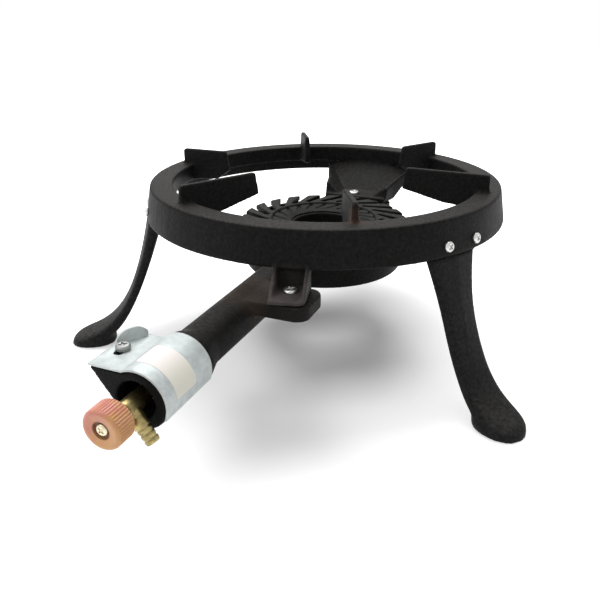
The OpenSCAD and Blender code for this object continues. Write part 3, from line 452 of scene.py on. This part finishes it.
def label_blank():
    """The label's closed mesh: two layers bent round the shutter's axis, joined at the rim."""
    axis_x, axis_z, sheet_r = 0.0012, 0.0835, 0.0197
    start, end = math.radians(106.0), math.radians(1.0)
    back, front, corner = -0.2590, -0.2790, 0.0016
    glue, thickness = 0.00003, 0.00012
    across, along = 40, 16
    length = (start - end) * sheet_r

    work = bmesh.new()
    layers = []
    for r in (sheet_r + glue, sheet_r + glue + thickness):
        rows = []
        for i in range(across + 1):
            u = i / across
            from_end = min(u, 1 - u) * length
            in_corner = max(0.0, corner - from_end)
            inset = corner - math.sqrt(max(0.0, corner ** 2 - in_corner ** 2))
            angle = start + (end - start) * u
            x, z = axis_x + r * math.cos(angle), axis_z + r * math.sin(angle)
            first, width = back - inset, front - back + 2 * inset
            rows.append([work.verts.new((x, first + width * j / along, z))
                         for j in range(along + 1)])
        layers.append(rows)
    inner, outer = layers
    for i in range(across):
        for j in range(along):
            work.faces.new((outer[i][j], outer[i + 1][j], outer[i + 1][j + 1], outer[i][j + 1]))
            work.faces.new((inner[i][j], inner[i][j + 1], inner[i + 1][j + 1], inner[i + 1][j]))
    rim = [(i, 0) for i in range(across)] + [(across, j) for j in range(along)]
    rim += [(i, along) for i in range(across, 0, -1)] + [(0, j) for j in range(along, 0, -1)]
    for (i, j), (k, m) in zip(rim, rim[1:] + rim[:1]):
        work.faces.new((outer[i][j], inner[i][j], inner[k][m], outer[k][m]))
    bmesh.ops.recalc_face_normals(work, faces=work.faces)
    mesh = bpy.data.meshes.new("shutter_label")
    work.to_mesh(mesh)
    work.free()
    mesh.shade_smooth()
    mesh.set_sharp_from_angle(angle=math.radians(40))
    return mesh


label = bpy.data.objects.new("shutter_label", label_blank())
label.data.materials.append(cream_paper())
scene.collection.objects.link(label)
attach(label, "shutter")


# ---------- Tap ----------
# Turned and drilled brass, left bare, so it has gone dull: body with shank, two locknuts, the
# injector, the gland nut, the barbed hose nozzle and the spindle with its rubber ring.
def dull_brass(name, tone, dark, roughness):
    """Bare brass with darker tarnish in patches and fine turning marks."""
    material, tree, output, add = new_material(name)
    place = add("ShaderNodeTexCoord").outputs["Object"]
    clouds = noise(add, place, 140.0, 6.0, 0.65)
    turning = noise(add, place, 2600.0, 2.0)
    tint = mixed(add, ramp(add, clouds, start=0.35, end=0.65), tone, dark)
    rough = ramp(add, clouds, at_start=roughness, at_end=roughness + 0.15)
    bump = relief(add, turning, depth=0.00003, strength=0.5)
    metal = add("ShaderNodeBsdfPrincipled",
                links={"Base Color": tint, "Roughness": rough, "Normal": bump}, in_Metallic=1.0)
    tree.links.new(metal.outputs[0], output.inputs["Surface"])
    return material


def nitrile():
    """Black sealing rubber with a faint grain."""
    material, tree, output, add = new_material("nitrile")
    grain = add("ShaderNodeTexNoise", in_Scale=1500.0).outputs[0]
    rubber = add("ShaderNodeBsdfPrincipled",
                 links={"Normal": relief(add, grain, depth=0.00002, strength=1.0)},
                 in_Base_Color=(0.012, 0.012, 0.012, 1), in_Roughness=0.55)
    tree.links.new(rubber.outputs[0], output.inputs["Surface"])
    return material


brass = dull_brass("dull_brass", tone=(0.40, 0.325, 0.145), dark=(0.16, 0.125, 0.055),
                   roughness=0.30)
for node, body in (("tap_body", "stand"), ("tap_locknuts", "stand"), ("injector", "stand"),
                   ("gland_nut", "stand"), ("hose_nozzle", "stand"), ("spindle", "tap_knob")):
    stands_for(eased(node, node + "_turned", 0.0002), node, body, brass)
seal = copy_of("spindle_oring", "spindle_seal")
stands_for(seal, "spindle_oring", "tap_knob", nitrile())


# ---------- Knob ----------
# Salmon-red moulded plastic with fine ribs and a bevelled face, mottled towards yellow. A painted
# warm reflection lies towards its lower right, and painted shade darkens the recess round the
# plated screw that holds it on the spindle.
def moulded_plastic(name, tone, yellow_and_reflection_tone, roughness):
    """Red moulding, mottled towards yellow, with a painted warm reflection towards its lower right
    side.
    """
    axis_z = 0.0835
    down_right = (0.7, 0.0, -0.7)
    level = down_right[2] * axis_z
    recess_painted_shade = (0.16, 0.075, 0.035)

    material, tree, output, add = new_material(name)
    place = add("ShaderNodeTexCoord").outputs["Object"]
    clouds = noise(add, place, 230.0, 5.0)
    dots = noise(add, place, 2400.0, 2.0)
    # Painted reflection: a warm yellow tone laid towards the lower right, mixed with random mottle.
    lower_right_reach = add("ShaderNodeVectorMath", links={0: place}, operation="DOT_PRODUCT")
    lower_right_reach.inputs[1].default_value = down_right
    painted_reflection = ramp(add, lower_right_reach.outputs["Value"], start=level - 0.010, end=level + 0.006)
    mottle = ramp(add, clouds, at_start=-1.5, at_end=1.5)
    reflection_and_mottle = add("ShaderNodeMath", links={0: painted_reflection, 1: mottle}, operation="ADD",
                       use_clamp=True)
    tint = mixed(add, reflection_and_mottle.outputs[0], tone, yellow_and_reflection_tone)

    # Painted shade: the recess round the screw is darkened.
    on_axis = add("ShaderNodeVectorMath", links={0: place}, operation="MULTIPLY_ADD")
    on_axis.inputs[1].default_value = (1.0, 0.0, 1.0)
    on_axis.inputs[2].default_value = (0.0, 0.0, -axis_z)
    from_axis = add("ShaderNodeVectorMath", links={0: on_axis.outputs[0]}, operation="LENGTH")
    recess_shade_mask = ramp(add, from_axis.outputs["Value"], start=0.0061, end=0.0048, at_end=0.85, soft=True)
    with_recess_shade = mixed(add, recess_shade_mask, tint, recess_painted_shade)

    rough = ramp(add, clouds, at_start=roughness - 0.05, at_end=roughness + 0.08)
    bump = relief(add, dots, depth=0.00004, strength=0.4)
    plastic = add("ShaderNodeBsdfPrincipled",
                  links={"Base Color": with_recess_shade, "Roughness": rough, "Normal": bump},
                  in_Subsurface_Weight=0.12, in_Subsurface_Radius=(0.9, 0.35, 0.2),
                  in_Subsurface_Scale=0.0012)
    tree.links.new(plastic.outputs[0], output.inputs["Surface"])
    return material


knob_plastic = moulded_plastic("knob_plastic", tone=(0.61, 0.225, 0.160),
                               yellow_and_reflection_tone=(0.62, 0.325, 0.120), roughness=0.40)
knob_zinc = zinc_steel("knob_zinc", (0.60, 0.54, 0.40), roughness=0.40, blotch=0.14)
knob_moulding = eased("knob", "knob_moulding", 0.00018)
knob_screw = eased("knob_screw", "knob_screw_plated", 0.00012)
stands_for(knob_moulding, "knob", "tap_knob", knob_plastic)
stands_for(knob_screw, "knob_screw", "tap_knob", knob_zinc)
